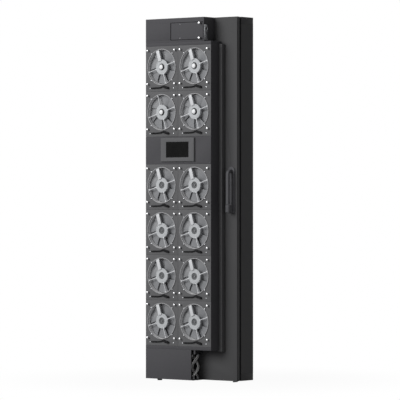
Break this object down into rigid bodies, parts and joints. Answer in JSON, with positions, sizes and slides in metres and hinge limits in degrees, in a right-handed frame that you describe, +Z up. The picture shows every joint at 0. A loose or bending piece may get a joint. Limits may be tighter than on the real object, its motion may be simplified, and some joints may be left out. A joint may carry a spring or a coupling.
{
  "type": "rear door heat exchanger",
  "caption": "Rack rear door heat exchanger: a hinged leaf with a water coil, a fan box with axial fans and a display, a rod latch with a pull handle, on a bolt-on transition frame.",
  "frame": {"origin": "middle of the transition frame's rear face, at its foot", "axes": "+Z up, the fan face looks along -Y, +Y into the rack, +X towards the handle side"},
  "size_m": [0.617, 0.2705, 2.109],
  "materials": {
    "frame_paint": "fine texture powder coat, satin black",
    "door_paint": "fine texture powder coat, dark charcoal",
    "box_paint": "fine texture powder coat, charcoal",
    "plate_paint": "smooth powder coat, grey",
    "gasket_rubber": "matt black",
    "zinc_steel": "zinc plated",
    "bright_screw": "nickel plated",
    "galvanised": "galvanised sheet",
    "coil_fins": "mill finish fins",
    "copper_tube": "drawn copper",
    "braided_hose": "stainless braid",
    "fan_rotor": "grey moulded",
    "fan_motor": "die cast, satin",
    "cable_cover": "pale grey moulded",
    "black_plastic": "moulded",
    "bezel_paint": "moulded, fine texture",
    "screen_glass": "black glass",
    "handle_paint": "glass filled nylon"
  },
  "bodies": {
    "frame": {"frame_left_post": "frame_paint", "frame_right_post": "frame_paint", "frame_top_rail": "frame_paint", "frame_bottom_rail": "frame_paint", "frame_gasket": "gasket_rubber", "frame_hinge_leaves": "frame_paint", "hinge_pins": "zinc_steel", "frame_strikers": "zinc_steel"},
    "door": {"door_hinge_leaves": "door_paint", "door_skin": "door_paint", "coil_side_plates": "galvanised", "coil_top_plate": "galvanised", "drip_tray": "galvanised", "coil_fin_pack": "coil_fins", "coil_return_bends": "copper_tube", "supply_header": "copper_tube", "return_header": "copper_tube", "fan_box_shell": "box_paint", "fan_support_panel": "galvanised", "fan_plates": "plate_paint", "fan_motors": "fan_motor", "fan_cable_covers": "cable_cover", "fan_leads": "black_plastic", "plate_thumb_screws": "bright_screw", "display_panel": "box_paint", "display_bezel": "bezel_paint", "display_screen": "screen_glass", "controller": "black_plastic", "top_box": "box_paint", "top_hatch": "box_paint", "hatch_thumb_screws": "bright_screw", "cable_inlet": "zinc_steel", "bottom_box": "box_paint", "hose_manifold": "galvanised", "supply_hose": "braided_hose", "return_hose": "braided_hose", "hose_couplings": "zinc_steel", "rubber_foot": "gasket_rubber", "wiring_raceway": "door_paint", "handle_base": "handle_paint", "rod_guides": "zinc_steel"},
    "handle": {"latch_handle": "handle_paint"},
    "lock": {"lock_cylinder": "zinc_steel"},
    "upper_rod": {"upper_rod": "zinc_steel"},
    "lower_rod": {"lower_rod": "zinc_steel"},
    "rotor_1": {"fan_rotor_1": "fan_rotor"},
    "rotor_2": {"fan_rotor_2": "fan_rotor"},
    "rotor_3": {"fan_rotor_3": "fan_rotor"},
    "rotor_4": {"fan_rotor_4": "fan_rotor"},
    "rotor_5": {"fan_rotor_5": "fan_rotor"},
    "rotor_6": {"fan_rotor_6": "fan_rotor"},
    "rotor_7": {"fan_rotor_7": "fan_rotor"},
    "rotor_8": {"fan_rotor_8": "fan_rotor"},
    "rotor_9": {"fan_rotor_9": "fan_rotor"},
    "rotor_10": {"fan_rotor_10": "fan_rotor"},
    "rotor_11": {"fan_rotor_11": "fan_rotor"},
    "rotor_12": {"fan_rotor_12": "fan_rotor"}
  },
  "joints": [
    {"name": "door_swing", "type": "hinge", "parent": "frame", "child": "door", "pos_m": [-0.309, -0.121, 1.05], "axis": [0, 0, -1], "range_deg": [0, 110]},
    {"name": "handle_turn", "type": "hinge", "parent": "door", "child": "handle", "pos_m": [0.261, -0.152, 1.21], "axis": [0, -1, 0], "range_deg": [0, 90]},
    {"name": "lock_turn", "type": "hinge", "parent": "door", "child": "lock", "pos_m": [0.261, -0.19, 0.9915], "axis": [0, 1, 0], "range_deg": [0, 90]},
    {"name": "upper_rod_slide", "type": "slide", "parent": "door", "child": "upper_rod", "axis": [0, 0, -1], "range_m": [0, 0.01885]},
    {"name": "lower_rod_slide", "type": "slide", "parent": "door", "child": "lower_rod", "axis": [0, 0, 1], "range_m": [0, 0.01885]},
    {"name": "fan_spin_1", "type": "hinge", "parent": "door", "child": "rotor_1", "pos_m": [-0.1785, -0.25, 0.338], "axis": [0, -1, 0], "continuous": true},
    {"name": "fan_spin_2", "type": "hinge", "parent": "door", "child": "rotor_2", "pos_m": [0.0645, -0.25, 0.338], "axis": [0, -1, 0], "continuous": true},
    {"name": "fan_spin_3", "type": "hinge", "parent": "door", "child": "rotor_3", "pos_m": [-0.1785, -0.25, 0.602], "axis": [0, -1, 0], "continuous": true},
    {"name": "fan_spin_4", "type": "hinge", "parent": "door", "child": "rotor_4", "pos_m": [0.0645, -0.25, 0.602], "axis": [0, -1, 0], "continuous": true},
    {"name": "fan_spin_5", "type": "hinge", "parent": "door", "child": "rotor_5", "pos_m": [-0.1785, -0.25, 0.866], "axis": [0, -1, 0], "continuous": true},
    {"name": "fan_spin_6", "type": "hinge", "parent": "door", "child": "rotor_6", "pos_m": [0.0645, -0.25, 0.866], "axis": [0, -1, 0], "continuous": true},
    {"name": "fan_spin_7", "type": "hinge", "parent": "door", "child": "rotor_7", "pos_m": [-0.1785, -0.25, 1.13], "axis": [0, -1, 0], "continuous": true},
    {"name": "fan_spin_8", "type": "hinge", "parent": "door", "child": "rotor_8", "pos_m": [0.0645, -0.25, 1.13], "axis": [0, -1, 0], "continuous": true},
    {"name": "fan_spin_9", "type": "hinge", "parent": "door", "child": "rotor_9", "pos_m": [-0.1785, -0.25, 1.555], "axis": [0, -1, 0], "continuous": true},
    {"name": "fan_spin_10", "type": "hinge", "parent": "door", "child": "rotor_10", "pos_m": [0.0645, -0.25, 1.555], "axis": [0, -1, 0], "continuous": true},
    {"name": "fan_spin_11", "type": "hinge", "parent": "door", "child": "rotor_11", "pos_m": [-0.1785, -0.25, 1.819], "axis": [0, -1, 0], "continuous": true},
    {"name": "fan_spin_12", "type": "hinge", "parent": "door", "child": "rotor_12", "pos_m": [0.0645, -0.25, 1.819], "axis": [0, -1, 0], "continuous": true}
  ],
  "couplings": [
    {"joint": "upper_rod_slide", "follows": "handle_turn", "m_per_rad": 0.012},
    {"joint": "lower_rod_slide", "follows": "handle_turn", "m_per_rad": 0.012}
  ]
}
